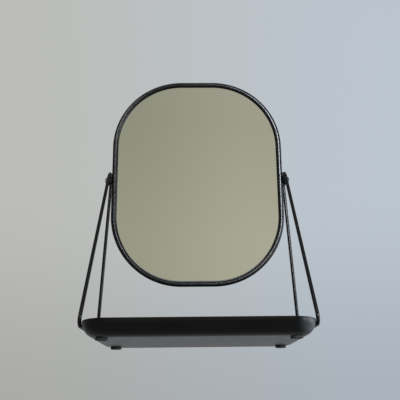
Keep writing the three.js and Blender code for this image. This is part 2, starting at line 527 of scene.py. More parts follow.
class SetOut:
    """Copies of one piece set out at given points, as a Geometry Nodes tree."""

    def __init__(self) -> None:
        """Builds the tree."""
        wiring, given, result = new_group(
            "Set Out", "GeometryNodeTree",
            {
                "Points": ("NodeSocketGeometry", None),
                "Piece": ("NodeSocketObject", None),
                "Finish": ("NodeSocketMaterial", None),
            },
            {"Pieces": "NodeSocketGeometry"},
        )
        pattern = wiring.add("GeometryNodeObjectInfo", {
            "Object": given.outputs["Piece"], "As Instance": True,
        })
        turn = wiring.add("GeometryNodeInputNamedAttribute", {"Name": TURN}, data_type="FLOAT_VECTOR")
        rotation = wiring.add("FunctionNodeEulerToRotation", {"Euler": turn.outputs["Attribute"]})
        copies = wiring.add("GeometryNodeInstanceOnPoints", {
            "Points": given.outputs["Points"], "Instance": pattern.outputs["Geometry"],
            "Rotation": rotation.outputs["Rotation"],
        })
        real = wiring.add("GeometryNodeRealizeInstances", {"Geometry": copies.outputs["Instances"]})
        coated = wiring.add("GeometryNodeSetMaterial", {
            "Geometry": real.outputs["Geometry"], "Material": given.outputs["Finish"],
        })
        wiring.feed(result, "Pieces", coated.outputs["Geometry"])
        self.tree = wiring.tree

    def repeat(self, name: str, pattern: Object, points: Sequence[Vector],
               turns: Sequence[tuple[float, float, float]],
               finish: Material) -> Object:
        """Sets copies of a pattern out and removes the pattern.

        Args:
            name: The finished piece's name.
            pattern: The piece to copy, drawn about the origin.
            points: Where each copy goes.
            turns: Each copy's turn, in radians about X, Y and Z.
            finish: The material of them all.

        Returns:
            The finished piece, one mesh for all the copies.
        """
        mesh = bpy.data.meshes.new(name)
        mesh.from_pydata([tuple(point) for point in points], [], [])
        attribute = mesh.attributes.new(TURN, "FLOAT_VECTOR", "POINT")
        attribute.data.foreach_set("vector", [angle for turn in turns for angle in turn])
        host = add_object(name, mesh)
        modifier = host.modifiers.new("set out", "NODES")
        modifier.node_group = self.tree
        set_inputs(modifier, {"Piece": pattern, "Finish": finish})
        settle(host)
        bpy.data.objects.remove(pattern)
        log.info("%s: %d copies, %d faces", name, len(points), len(host.data.polygons))
        return host


def set_inputs(modifier: NodesModifier, values: dict[str, Any]) -> None:
    """Sets a Geometry Nodes modifier's inputs, each by its socket's identifier.

    Args:
        modifier: The modifier.
        values: The value of each input, by the socket's name.
    """
    for item in modifier.node_group.interface.items_tree:
        if item.item_type == "SOCKET" and item.in_out == "INPUT" and item.name in values:
            modifier[item.identifier] = values[item.name]


def loop_object(name: str, points: Sequence[tuple[float, float]]) -> Object:
    """Adds an object that holds one closed loop of edges in the XY plane.

    Args:
        name: The object's name.
        points: The loop's points in turn.

    Returns:
        The object.
    """
    count = len(points)
    mesh = bpy.data.meshes.new(name)
    edges = [(i, (i + 1) % count) for i in range(count)]
    mesh.from_pydata([(x, y, 0.0) for x, y in points], edges, [])
    return add_object(name, mesh)


# ---- finishes ----


class SurfaceEffects:
    """The shader groups that more than one finish uses."""

    def __init__(self) -> None:
        """Builds each group once."""
        self.grain = self.fine_grain()
        self.dust = self.dust_specks()
        self.wear = self.edge_wear()

    @staticmethod
    def fine_grain() -> NodeTree:
        """Relief and a mottle that change slightly all over, as in a baked coat or a moulding.

        Returns:
            The group's tree.
        """
        wiring, given, result = new_group(
            "Fine Grain", "ShaderNodeTree",
            {
                "Coordinate": ("NodeSocketVector", None),
                "Grains per Metre": ("NodeSocketFloat", 1500.0),
                "Mottle per Metre": ("NodeSocketFloat", 60.0),
            },
            {"Height": "NodeSocketFloat", "Mottle": "NodeSocketFloat"},
        )
        grain = wiring.add("ShaderNodeTexNoise", {
            "Vector": given.outputs["Coordinate"], "Scale": given.outputs["Grains per Metre"],
            "Detail": 2.0, "Roughness": 0.45,
        })
        mottle = wiring.add("ShaderNodeTexNoise", {
            "Vector": given.outputs["Coordinate"], "Scale": given.outputs["Mottle per Metre"],
            "Detail": 4.0, "Roughness": 0.6,
        })
        wiring.feed(result, "Height", grain.outputs["Fac"])
        wiring.feed(result, "Mottle", wiring.ramp(mottle.outputs["Fac"], 0.3, 0.7, eased=False))
        return wiring.tree

    @staticmethod
    def dust_specks() -> NodeTree:
        """A mask of small scattered specks of dust and lint.

        Returns:
            The group's tree.
        """
        wiring, given, result = new_group(
            "Dust Specks", "ShaderNodeTree",
            {
                "Coordinate": ("NodeSocketVector", None),
                "Cells per Metre": ("NodeSocketFloat", 90.0),
                "Speck Size": ("NodeSocketFloat", 0.05),
                "Share": ("NodeSocketFloat", 0.2),
            },
            {"Mask": "NodeSocketFloat"},
        )
        cells = wiring.add("ShaderNodeTexVoronoi", {
            "Vector": given.outputs["Coordinate"], "Scale": given.outputs["Cells per Metre"],
        })
        chance = wiring.add("ShaderNodeSeparateColor", {"Color": cells.outputs["Color"]})
        reach = wiring.calculate("MULTIPLY", given.outputs["Speck Size"], chance.outputs["Green"])
        near = wiring.calculate("LESS_THAN", cells.outputs["Distance"], reach)
        kept = wiring.calculate("LESS_THAN", chance.outputs["Red"], given.outputs["Share"])
        wiring.feed(result, "Mask", wiring.calculate("MULTIPLY", near, kept))
        return wiring.tree

    @staticmethod
    def edge_wear() -> NodeTree:
        """A mask of rubbed patches along the edges that carry the worn attribute.

        Returns:
            The group's tree.
        """
        wiring, given, result = new_group(
            "Edge Wear", "ShaderNodeTree",
            {
                "Coordinate": ("NodeSocketVector", None),
                "Edge": ("NodeSocketFloat", 0.0),
                "Amount": ("NodeSocketFloat", 0.5),
            },
            {"Mask": "NodeSocketFloat"},
        )
        patches = wiring.add("ShaderNodeTexNoise", {
            "Vector": given.outputs["Coordinate"], "Scale": 160.0, "Detail": 5.0, "Roughness": 0.65,
        })
        rubbed = wiring.ramp(patches.outputs["Fac"], 0.45, 0.65, eased=False)
        on_edge = wiring.calculate("MULTIPLY", given.outputs["Edge"], rubbed)
        wiring.feed(result, "Mask", wiring.calculate("MULTIPLY", on_edge, given.outputs["Amount"]))
        return wiring.tree


def new_material(name: str) -> tuple[Material, Wiring]:
    """Starts a material that has no nodes yet.

    Args:
        name: The material's name.

    Returns:
        The material and its wiring.
    """
    material = bpy.data.materials.new(name)
    material.use_nodes = True
    material.node_tree.nodes.clear()
    return material, Wiring(material.node_tree)


@dataclass(frozen=True)
class CoatFinish:
    """A baked coat or a moulding: one colour, fine relief, uneven gloss, dust and rubbed edges."""

    name: str
    colour: Tint
    mottled: Tint
    roughness: tuple[float, float]
    ior: float = 1.5
    metallic: float = 0.0
    grains_per_metre: float = 1500.0
    mottle_per_metre: float = 60.0
    relief: float = 0.012 * MM
    wear: float = 0.0
    worn_colour: Tint = (0.03, 0.03, 0.032)
    dust_share: float = 0.0
    dust_colour: Tint = (0.16, 0.155, 0.145)
    dust_roughness: float = 0.9

    def material(self, effects: SurfaceEffects) -> Material:
        """Builds the material.

        Args:
            effects: The shared shader groups.

        Returns:
            The material.
        """
        material, wiring = new_material(self.name)
        coordinate = wiring.add("ShaderNodeTexCoord").outputs["Object"]
        grain = wiring.add("ShaderNodeGroup", {
            "Coordinate": coordinate, "Grains per Metre": self.grains_per_metre,
            "Mottle per Metre": self.mottle_per_metre,
        }, node_tree=effects.grain)
        colour = wiring.blend(grain.outputs["Mottle"], (*self.colour, 1.0), (*self.mottled, 1.0))
        roughness = wiring.ramp(grain.outputs["Mottle"], 0.0, 1.0, *self.roughness, eased=False)
        if self.wear:
            edge = wiring.add("ShaderNodeAttribute", attribute_name=WORN, attribute_type="GEOMETRY")
            wear = wiring.add("ShaderNodeGroup", {
                "Coordinate": coordinate, "Edge": edge.outputs["Fac"], "Amount": self.wear,
            }, node_tree=effects.wear)
            colour = wiring.blend(wear.outputs["Mask"], colour, (*self.worn_colour, 1.0))
        if self.dust_share:
            dust = wiring.add("ShaderNodeGroup", {
                "Coordinate": coordinate, "Share": self.dust_share,
            }, node_tree=effects.dust)
            colour = wiring.blend(dust.outputs["Mask"], colour, (*self.dust_colour, 1.0))
            roughness = wiring.blend(dust.outputs["Mask"], roughness, self.dust_roughness)
        bump = wiring.add("ShaderNodeBump", {
            "Strength": 1.0, "Distance": self.relief, "Height": grain.outputs["Height"],
        })
        shader = wiring.add("ShaderNodeBsdfPrincipled", {
            "Base Color": colour, "Roughness": roughness, "Normal": bump.outputs["Normal"],
            "IOR": self.ior, "Metallic": self.metallic,
        })
        wiring.add("ShaderNodeOutputMaterial", {"Surface": shader.outputs["BSDF"]})
        return material


@dataclass(frozen=True)
class SilverFinish:
    """The silvered face of a mirror, with the faintest haze and a few specks."""

    name: str = "silvered glass"
    colour: Tint = (0.88, 0.90, 0.86)
    roughness: tuple[float, float] = (0.012, 0.035)
    haze_per_metre: float = 25.0
    dust_share: float = 0.06
    dust_roughness: float = 0.12

    def material(self, effects: SurfaceEffects) -> Material:
        """Builds the material.

        Args:
            effects: The shared shader groups.

        Returns:
            The material.
        """
        material, wiring = new_material(self.name)
        coordinate = wiring.add("ShaderNodeTexCoord").outputs["Object"]
        haze = wiring.add("ShaderNodeGroup", {
            "Coordinate": coordinate, "Mottle per Metre": self.haze_per_metre,
        }, node_tree=effects.grain)
        clean = wiring.ramp(haze.outputs["Mottle"], 0.0, 1.0, *self.roughness, eased=False)
        dust = wiring.add("ShaderNodeGroup", {
            "Coordinate": coordinate, "Share": self.dust_share,
        }, node_tree=effects.dust)
        shader = wiring.add("ShaderNodeBsdfPrincipled", {
            "Roughness": wiring.blend(dust.outputs["Mask"], clean, self.dust_roughness),
            "Base Color": (*self.colour, 1.0), "Metallic": 1.0,
        })
        wiring.add("ShaderNodeOutputMaterial", {"Surface": shader.outputs["BSDF"]})
        return material


class Finishes:
    """Every material of the object."""

    def __init__(self) -> None:
        """Builds them all round one set of shared effects."""
        effects = SurfaceEffects()
        self.powder_coat = CoatFinish(
            "satin black powder coat", (0.0042, 0.0043, 0.0047), (0.0056, 0.0057, 0.0062), (0.20, 0.25),
            ior=1.4, grains_per_metre=900.0, relief=0.0006 * MM, wear=0.5, dust_share=0.12,
        ).material(effects)
        self.rubber = CoatFinish(
            "moulded black rubber", (0.012, 0.012, 0.012), (0.020, 0.020, 0.019), (0.68, 0.82),
            grains_per_metre=3200.0, relief=0.02 * MM, mottle_per_metre=220.0, wear=0.3, dust_share=0.2,
        ).material(effects)
        self.nylon = CoatFinish(
            "black nylon", (0.014, 0.014, 0.015), (0.022, 0.022, 0.023), (0.48, 0.6),
            grains_per_metre=2400.0, relief=0.008 * MM, mottle_per_metre=300.0,
        ).material(effects)
        self.black_steel = CoatFinish(
            "blackened steel", (0.020, 0.020, 0.020), (0.032, 0.031, 0.030), (0.3, 0.46),
            metallic=0.85, grains_per_metre=4200.0, relief=0.004 * MM, mottle_per_metre=500.0,
            wear=0.5, worn_colour=(0.12, 0.118, 0.115),
        ).material(effects)
        self.foam_tape = CoatFinish(
            "foam tape", (0.62, 0.6, 0.55), (0.72, 0.7, 0.65), (0.85, 0.95),
            grains_per_metre=2600.0, relief=0.08 * MM, mottle_per_metre=150.0,
        ).material(effects)
        self.silver = SilverFinish().material(effects)
        self.glass_edge = CoatFinish(
            "ground glass edge", (0.10, 0.125, 0.115), (0.14, 0.165, 0.155), (0.4, 0.55),
            grains_per_metre=3000.0, relief=0.006 * MM, mottle_per_metre=200.0,
        ).material(effects)
        self.backing_paint = CoatFinish(
            "mirror backing paint", (0.10, 0.105, 0.11), (0.13, 0.135, 0.14), (0.45, 0.6),
            grains_per_metre=900.0, relief=0.01 * MM,
        ).material(effects)


# ---- the object ----


def pivot_point() -> Vector:
    """Finds the middle of the tilt axis, which runs through the eyes.

    Returns:
        The point midway between the eyes.
    """
    low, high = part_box("pivot_eye_right")
    return Vector((0.0, 0.0, (low.z + high.z) / 2))


@dataclass
class Tray:
    """The pressed tray: one sheet whose walls curve up in a quarter circle to a rounded rim."""

    wall_radius: float = 16 * MM
    corner_radius: float = 26 * MM
    sheet: float = 1.2 * MM
    land: float = 0.6 * MM  # a narrow flat strip that keeps the floor's shading flat
    arc_steps: int = 26
    bead_steps: int = 10
    corner_steps: int = 28

    def section(self, floor: float, rim: float) -> list[Station]:
        """The sheet's section from the underside's middle, over the rim, to the floor's middle.

        Args:
            floor: The height of the underside.
            rim: The height of the rim's top.

        Returns:
            The stations, with their reach counted from the centres of the corners.
        """
        flat = self.corner_radius - self.wall_radius
        centre_up = floor + self.wall_radius
        bead = self.sheet / 2
        bead_out = self.corner_radius - bead
        inner = self.wall_radius - self.sheet
        return [
            Station(flat - 2 * self.land, floor),
            Station(flat - self.land, floor),
            *arc(flat, centre_up, self.wall_radius, -90, 0, self.arc_steps),
            *arc(bead_out, rim - bead, bead, 0, 180, self.bead_steps, worn=1.0),
            *arc(flat, centre_up, inner, 0, -90, self.arc_steps),
            Station(flat - self.land, floor + self.sheet),
            Station(flat - 2 * self.land, floor + self.sheet),
        ]

    def build(self, finishes: Finishes) -> Object:
        """Makes the tray and hands it to its body.

        Args:
            finishes: The object's materials.

        Returns:
            The tray.
        """
        low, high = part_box("tray")
        core = (high.x - self.corner_radius, high.y - self.corner_radius)
        shell = DrawnOut(self.section(low.z, high.z), core, self.corner_steps).mesh()
        tray = new_piece("tray_pressing", shell, Matrix.Identity(4), finishes.powder_coat)
        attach(tray, "base")
        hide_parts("tray")
        return tray


@dataclass
class Feet:
    """Four round rubber feet with softened edges."""

    edge: float = 0.5 * MM
    edge_steps: int = 6
    corner_steps: int = 14

    def build(self, finishes: Finishes, set_out: SetOut) -> Object:
        """Makes one foot and sets it out at the four corners.

        Args:
            finishes: The object's materials.
            set_out: The tree that repeats a piece.

        Returns:
            The four feet as one piece.
        """
        names = ("foot_front_left", "foot_front_right", "foot_back_left", "foot_back_right")
        low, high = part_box(names[0])
        radius = (high.x - low.x) / 2
        section = [
            Station(radius - 2 * self.edge, 0.0),
            *arc(radius - self.edge, self.edge, self.edge, -90, 0, self.edge_steps, worn=1.0),
            Station(radius, high.z - low.z),
            Station(radius - self.edge, high.z - low.z),
        ]
        shell = DrawnOut(section, corner_steps=self.corner_steps).mesh()
        pattern = new_piece("foot_pattern", shell, Matrix.Identity(4))
        points = []
        for name in names:
            corner_low, corner_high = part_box(name)
            centre = (corner_low + corner_high) / 2
            points.append(Vector((centre.x, centre.y, corner_low.z)))
        turns = [(0.0, 0.0, 0.0)] * len(points)
        feet = set_out.repeat("rubber_feet", pattern, points, turns, finishes.rubber)
        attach(feet, "base")
        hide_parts("foot_front_left", "foot_front_right", "foot_back_left", "foot_back_right")
        return feet


@dataclass
class SideWires:
    """The two wire hoops, each bent over its pivot and butt-welded in the middle of its bottom run."""

    radius: float = 2 * MM
    bend_radius: float = 8.5 * MM
    corner_radius: float = 8 * MM
    run_half_length: float = 46.6 * MM
    run_height: float = 14.5 * MM
    x_at_pivot: float = 108 * MM
    x_at_rim: float = 118.3 * MM
    rim_height: float = 18.5 * MM
    weld_half_length: float = 1.5 * MM
    weld_swell: float = 0.1
    weld_steps: int = 8
    bend_steps: int = 40
    corner_steps: int = 22
    sides: int = 24

    def lean(self, pivot_height: float) -> float:
        """How far a hoop's plane leans out, so that its run clears the tray's rim."""
        return math.atan((self.x_at_rim - self.x_at_pivot) / (pivot_height - self.rim_height))

    def path(self, pivot_height: float) -> tuple[list[tuple[float, float]], list[float]]:
        """The hoop's middle line in its own plane, the pivot at the origin.

        Args:
            pivot_height: How high the pivot is.

        Returns:
            The closed path's points, and how much the wire swells at each.
        """
        run = -(pivot_height - self.run_height) / math.cos(self.lean(pivot_height))
        leg = math.atan2(self.run_half_length, -run) - math.asin(
            self.bend_radius / math.hypot(self.run_half_length, run))
        turn = math.pi / 2 + leg
        corner_x = self.run_half_length - self.corner_radius * math.tan(turn / 2)
        corner_y = run + self.corner_radius
        points: list[tuple[float, float]] = []
        swell: list[float] = []
        for step in range(self.weld_steps + 1):
            share = 2 * step / self.weld_steps - 1
            points.append((share * self.weld_half_length, run))
            swell.append(1 + self.weld_swell * math.cos(share * math.pi / 2))
        bends = (
            (corner_x, corner_y, self.corner_radius, -math.pi / 2, turn, self.corner_steps),
            (0.0, 0.0, self.bend_radius, leg, math.pi - 2 * leg, self.bend_steps),
            (-corner_x, corner_y, self.corner_radius, math.pi - leg, turn, self.corner_steps),
        )
        for x, y, radius, start, sweep, steps in bends:
            for step in range(steps + 1):
                angle = start + sweep * step / steps
                points.append((x + radius * math.cos(angle), y + radius * math.sin(angle)))
                swell.append(1.0)
        return points, swell

    def build(self, finishes: Finishes, bent_bar: BentBar) -> list[Object]:
        """Bends both hoops and hands them to their body.

        Args:
            finishes: The object's materials.
            bent_bar: The tree that bends a bar.

        Returns:
            The left and the right hoop.
        """
        pivot = pivot_point()
        points, swell = self.path(pivot.z)
        angles = [2 * math.pi * side / self.sides for side in range(self.sides)]
        section = [(self.radius * math.cos(a), self.radius * math.sin(a)) for a in angles]
        leaning = Matrix.Rotation(-self.lean(pivot.z), 4, "Y")
        beside = Matrix.Translation((self.x_at_pivot, 0, 0)) @ leaning
        hoops = []
        for side in Side:
            end = Matrix.Rotation(0.0 if side is Side.RIGHT else math.pi, 4, "Z")
            place = Matrix.Translation(pivot) @ end @ beside @ Lay.ALONG_X.matrix()
            name = f"wire_hoop_{side.name.lower()}"
            hoops.append(bent_bar.bend(name, points, swell, section, finishes.powder_coat, place))
        left, right = hoops
        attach(left, "base")
        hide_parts("side_wire_left")
        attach(right, "base")
        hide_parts("side_wire_right")
        return hoops


@dataclass
class PivotHardware:
    """Each pivot's screw, and the nylon washer, welded eye and spring washer that sit on it."""

    bore: float = 2.15 * MM
    edge_steps: int = 5
    bore_steps: int = 3
    eye_edge: float = 0.4 * MM
    washer_edge: float = 0.15 * MM
    spring_bore: float = 2.1 * MM
    spring_split: float = 0.6 * MM
    split_cutter: tuple[float, float] = (3 * MM, 6 * MM)
    split_radius: float = 4.2 * MM  # how far out the middle of the split's cutter is
    split_slant: float = math.radians(25)
    shank_radius: float = 2 * MM
    shank_length: float = 9.8 * MM
    tip_chamfer: float = 0.4 * MM
    plain_neck: float = 0.9 * MM
    thread_pitch: float = 0.7 * MM
    thread_depth: float = 0.35 * MM
    thread_run_in: float = 1 * MM
    thread_run_out: float = 0.5 * MM
    steps_per_turn: int = 12
    head_radius: float = 4 * MM
    head_edge: float = 0.2 * MM
    head_rim: float = 1.1 * MM
    head_height: float = 3.1 * MM
    crown_sweep: float = 84.0
    slot_width: float = 1 * MM
    slot_depth: float = 0.8 * MM
    cross_span: float = 4.4 * MM
    cross_width: float = 0.9 * MM
    cross_depth: float = 1.8 * MM
    slot_angle: float = math.radians(25)
    overshoot: float = 1 * MM  # how far a cutter stands out of what it cuts

    def points(self, right_node: str) -> list[Vector]:
        """Finds where a piece starts on each screw.

        Args:
            right_node: Its node on the right.

        Returns:
            The left and the right point, each on the side nearest the mirror.
        """
        low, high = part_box(right_node)
        height = (low.z + high.z) / 2
        return [Vector((side.value * low.x, 0.0, height)) for side in Side]

    def turns(self, tilt: float = 0.0) -> list[tuple[float, float, float]]:
        """The turns that face the left and the right copy of a piece outwards."""
        return [(-tilt, 0.0, math.pi), (tilt, 0.0, 0.0)]

    def ring(self, name: str, right_node: str, bore: float, edge: float,
             corner_steps: int = 16) -> Object:
        """Makes one ring with rounded edges, as wide and as thick as its node.

        Args:
            name: The ring's name.
            right_node: The node that it stands for on the right.
            bore: The radius of its hole.
            edge: The radius of its outer edges.
            corner_steps: How many chords a quarter turn has.

        Returns:
            The ring, drawn about the origin with its first face there.
        """
        low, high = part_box(right_node)
        outer, thickness = (high.y - low.y) / 2, high.x - low.x
        inner_edge = min(edge, self.washer_edge)
        section = [
            *arc(outer - edge, edge, edge, -90, 0, self.edge_steps, worn=1.0),
            *arc(outer - edge, thickness - edge, edge, 0, 90, self.edge_steps, worn=1.0),
            *arc(bore + inner_edge, thickness - inner_edge, inner_edge, 90, 180, self.bore_steps),
            *arc(bore + inner_edge, inner_edge, inner_edge, 180, 270, self.bore_steps),
        ]
        shell = DrawnOut(section, corner_steps=corner_steps, closed=True).mesh()
        return new_piece(name, shell, Lay.ALONG_X.matrix())

    def eyes(self, finishes: Finishes, set_out: SetOut) -> Object:
        """Makes the eyes welded inside the hoops' bends.

        Args:
            finishes: The object's materials.
            set_out: The tree that repeats a piece.

        Returns:
            Both eyes as one piece.
        """
        pattern = self.ring("eye_pattern", "pivot_eye_right", self.bore, self.eye_edge, corner_steps=18)
        points = self.points("pivot_eye_right")
        eyes = set_out.repeat("pivot_eyes", pattern, points, self.turns(), finishes.powder_coat)
        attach(eyes, "base")
        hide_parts("pivot_eye_left", "pivot_eye_right")
        return eyes

    def nylon_washers(self, finishes: Finishes, set_out: SetOut) -> Object:
        """Makes the washers between the frame and the eyes.

        Args:
            finishes: The object's materials.
            set_out: The tree that repeats a piece.

        Returns:
            Both washers as one piece.
        """
        pattern = self.ring("nylon_pattern", "nylon_washer_right", self.bore, self.washer_edge)
        points = self.points("nylon_washer_right")
        washers = set_out.repeat("nylon_washers", pattern, points, self.turns(), finishes.nylon)
        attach(washers, "base")
        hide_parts("nylon_washer_left", "nylon_washer_right")
        return washers

    def spring_washers(self, tilt: float, finishes: Finishes, set_out: SetOut) -> Object:
        """Makes the split washers that keep the joint stiff.

        Args:
            tilt: How far the mirror leans back, in radians.
            finishes: The object's materials.
            set_out: The tree that repeats a piece.

        Returns:
            Both washers as one piece.
        """
        pattern = self.ring("spring_pattern", "spring_washer_right", self.spring_bore, self.washer_edge)
        size = Vector((*self.split_cutter, self.spring_split))
        below = Matrix.Translation((0, 0, -self.split_radius)) @ Matrix.Rotation(math.pi / 2, 4, "X")
        cut(pattern, [block("split_cutter", size, below @ Matrix.Rotation(self.split_slant, 4, "Y"))])
        points = self.points("spring_washer_right")
        washers = set_out.repeat("spring_washers", pattern, points, self.turns(tilt),
                                 finishes.black_steel)
        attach(washers, "mirror")
        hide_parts("spring_washer_left", "spring_washer_right")
        return washers

    def thread(self, angle: float, station: Station) -> float:
        """Cuts the thread in along the screw's shank.

        Args:
            angle: The angle round the screw, in radians.
            station: The plain screw's point.

        Returns:
            How far out the surface is there.
        """
        start, end = -self.shank_length + self.tip_chamfer, -self.plain_neck
        if not start < station.up < end:
            return station.out
        turn = (station.up / self.thread_pitch - angle / (2 * math.pi)) % 1.0
        groove = 1 - abs(2 * turn - 1)
        fade_in = (station.up - start) / self.thread_run_in
        fade_out = (end - station.up) / self.thread_run_out
        return station.out - self.thread_depth * groove * min(1.0, fade_in, fade_out)

    def screw_section(self) -> list[Station]:
        """Draws the plain screw's section, with the head's underside at the origin.

        Returns:
            The stations from the tip to the top of the head.
        """
        steps = self.steps_per_turn * round(self.shank_length / self.thread_pitch)
        straight = self.shank_length - self.tip_chamfer
        crown = self.head_height - self.head_rim
        return [
            Station(self.shank_radius - self.tip_chamfer, -self.shank_length),
            *[Station(self.shank_radius, straight * step / steps - straight)
              for step in range(steps + 1)],
            *arc(self.head_radius - self.head_edge, self.head_edge, self.head_edge, -90, 0, 4),
            *arc(0.0, self.head_rim, self.head_radius, 0, self.crown_sweep, 16, rise=crown, worn=0.6),
        ]

    def screws(self, tilt: float, finishes: Finishes, set_out: SetOut) -> Object:
        """Makes the pivot screws, each with a slot across a cross recess.

        Args:
            tilt: How far the mirror leans back, in radians.
            finishes: The object's materials.
            set_out: The tree that repeats a piece.

        Returns:
            Both screws as one piece.
        """
        shell = DrawnOut(self.screw_section(), corner_steps=16, shape=self.thread).mesh()
        pattern = new_piece("screw_pattern", shell, Lay.ALONG_X.matrix())
        top = self.head_height + self.overshoot
        turned = Matrix.Rotation(math.pi / 2 - self.slot_angle, 4, "X")
        sizes = (
            (self.slot_depth, 2 * self.head_radius + self.overshoot, self.slot_width),
            (self.cross_depth, self.cross_span, self.cross_width),
            (self.cross_depth, self.cross_width, self.cross_span),
        )
        cutters = []
        for index, (depth, along, across) in enumerate(sizes):
            height = depth + self.overshoot
            place = Matrix.Translation((top - height / 2, 0, 0)) @ turned
            cutters.append(block(f"recess_cutter_{index}", Vector((height, along, across)), place))
        cut(pattern, cutters)
        screws = set_out.repeat("pivot_screws", pattern, self.head_seats(), self.turns(tilt),
                                finishes.black_steel)
        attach(screws, "mirror")
        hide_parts("pivot_screw_left", "pivot_screw_right")
        return screws

    def head_seats(self) -> list[Vector]:
        """Finds the seats of the screws' heads.

        Returns:
            The middle of each head's underside, left and right.
        """
        low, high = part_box("pivot_screw_right")
        seat = high.x - self.head_height
        height = (low.z + high.z) / 2
        return [Vector((side.value * seat, 0.0, height)) for side in Side]


@dataclass
class MirrorHead:
    """The tilting mirror: a bent frame bar, the silvered glass in its front and a plate in its back."""

    tilt: float = math.radians(12)
    gap: float = 0.3 * MM
    frame_width: float = 6.15 * MM
    frame_depth: float = 8 * MM
    crown: float = 2 * MM
    section_steps: int = 28
    pivot_spacing: float = 3 * MM  # between the middle line's points near a pivot
    half_width: float = 98.6 * MM
    half_height: float = 122.7 * MM
    corner_radius: float = 79.3 * MM
    glass_front: float = 2 * MM
    glass_thickness: float = 3 * MM
    arris: float = 0.35 * MM
    arris_fall: float = 0.45  # how far back the arris goes, in times its width
    glass_land: float = 0.02 * MM  # a narrow flat strip that keeps the face's shading flat
    glass_chamfer: float = 0.2 * MM
    glass_crease: float = 12.0
    level_normal: float = 0.98  # a face is level where its normal rises more than this
    tape_thickness: float = 1 * MM
    plate_thickness: float = 0.8 * MM
    plate_edge: float = 0.25 * MM
    plate_land: float = 0.5 * MM  # a narrow flat strip that keeps the back's shading flat
    tap_radius: float = 2.2 * MM
    overshoot: float = 1 * MM  # how far the tap stands out of the bar's inner side
    corner_steps: int = 60
    pivot: Vector = field(init=False)

    def __post_init__(self) -> None:
        """Takes the pivot from the eyes."""
        self.pivot = pivot_point()

    @property
    def core(self) -> tuple[float, float]:
        """The rectangle through the centres of the corners."""
        return self.half_width - self.corner_radius, self.half_height - self.corner_radius

    def place(self) -> Matrix:
        """From a drawing with its front up to the tilted mirror."""
        tilted = Matrix.Translation(self.pivot) @ Matrix.Rotation(self.tilt, 4, "X")
        return tilted @ Lay.FACING_FRONT.matrix()

    def frame_path(self) -> list[tuple[float, float]]:
        """Draws the middle line of the frame's bar.

        Returns:
            The points in turn, with some close to each pivot.
        """
        core_x, core_y = self.core
        radius = self.corner_radius + self.gap + self.frame_width / 2
        near = [step * self.pivot_spacing for step in (2, 1, -1, -2)]
        points = []
        for quarter, (sign_x, sign_y) in enumerate(((1, 1), (-1, 1), (-1, -1), (1, -1))):
            for step in range(self.corner_steps + 1):
                angle = math.radians(90 * (quarter + step / self.corner_steps))
                x = sign_x * core_x + radius * math.cos(angle)
                y = sign_y * core_y + radius * math.sin(angle)
                points.append((x, y))
            if quarter == 1:
                points.extend((-core_x - radius, y) for y in near)
            if quarter == 3:
                points.extend((core_x + radius, -y) for y in near)
        return points

    def frame_section(self) -> list[tuple[float, float]]:
        """Draws the bar's section, with flat sides and a half ellipse front and back.

        Returns:
            The points in turn, across the bar and then forwards.
        """
        straight = self.frame_depth / 2 - self.crown
        half = self.frame_width / 2
        front = arc(0, straight, half, 0, 180, self.section_steps, rise=self.crown)
        back = arc(0, -straight, half, 180, 360, self.section_steps, rise=self.crown)
        return [(station.out, station.up) for station in [*front, *back]]

    def frame(self, finishes: Finishes, bent_bar: BentBar) -> Object:
        """Bends the frame's bar and taps it for the pivot screws.

        Args:
            finishes: The object's materials.
            bent_bar: The tree that bends a bar.

        Returns:
            The bar.
        """
        path = self.frame_path()
        bar = bent_bar.bend("frame_bar", path, [1.0] * len(path), self.frame_section(),
                            finishes.powder_coat, self.place())
        side_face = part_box("mirror_frame")[1].x
        length = self.frame_width + 4 * self.overshoot
        for side in Side:
            section = [Station(self.tap_radius, -length / 2), Station(self.tap_radius, length / 2)]
            middle = side.value * (side_face - self.frame_width / 2 + self.overshoot)
            place = Matrix.Translation((middle, 0, self.pivot.z)) @ Lay.ALONG_X.matrix()
            cut(bar, [new_piece("tap_cutter", DrawnOut(section, corner_steps=8).mesh(), place)])
        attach(bar, "mirror")
        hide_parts("mirror_frame")
        return bar

    def glass(self, finishes: Finishes) -> Object:
        """Makes the glass, with a silvered face, a narrow ground arris and edge, and a painted back.

        Args:
            finishes: The object's materials.

        Returns:
            The glass.
        """
        front, back = self.glass_front, self.glass_front - self.glass_thickness
        reach = self.corner_radius
        section = [
            Station(reach - 3 * self.arris, front),
            Station(reach - self.arris - self.glass_land, front),
            Station(reach - self.arris, front),
            Station(reach, front - self.arris * self.arris_fall),
            Station(reach, back + self.glass_chamfer),
            Station(reach - self.glass_chamfer, back),
            Station(reach - 3 * self.arris, back),
        ]
        shell = DrawnOut(section, self.core, self.corner_steps).mesh()
        for face in shell.faces:
            in_front = face.calc_center_median().z > back + self.arris
            on_edge = abs(face.normal.z) <= self.level_normal
            face.material_index = 1 if on_edge else 0 if in_front else 2
        pane = new_piece("silvered_pane", shell, self.place(), finishes.silver, finishes.glass_edge,
                         finishes.backing_paint, crease=self.glass_crease)
        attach(pane, "mirror")
        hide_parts("mirror_glass")
        return pane

    def back_plate(self, finishes: Finishes) -> Object:
        """Makes the plate that closes the back of the frame.

        Args:
            finishes: The object's materials.

        Returns:
            The plate.
        """
        front = self.glass_front - self.glass_thickness - 2 * self.gap - self.tape_thickness
        back = front - self.plate_thickness
        reach = self.corner_radius
        edge = self.plate_edge
        section = [
            Station(reach - 3 * self.plate_land, front),
            *arc(reach - edge, front - edge, edge, 90, 0, 4),
            *arc(reach - edge, back + edge, edge, 0, -90, 4, worn=0.4),
            Station(reach - 2 * self.plate_land, back),
            Station(reach - 3 * self.plate_land, back),
        ]
        shell = DrawnOut(section, self.core, self.corner_steps).mesh()
        plate = new_piece("back_cover", shell, self.place(), finishes.powder_coat)
        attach(plate, "mirror")
        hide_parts("back_plate")
        return plate

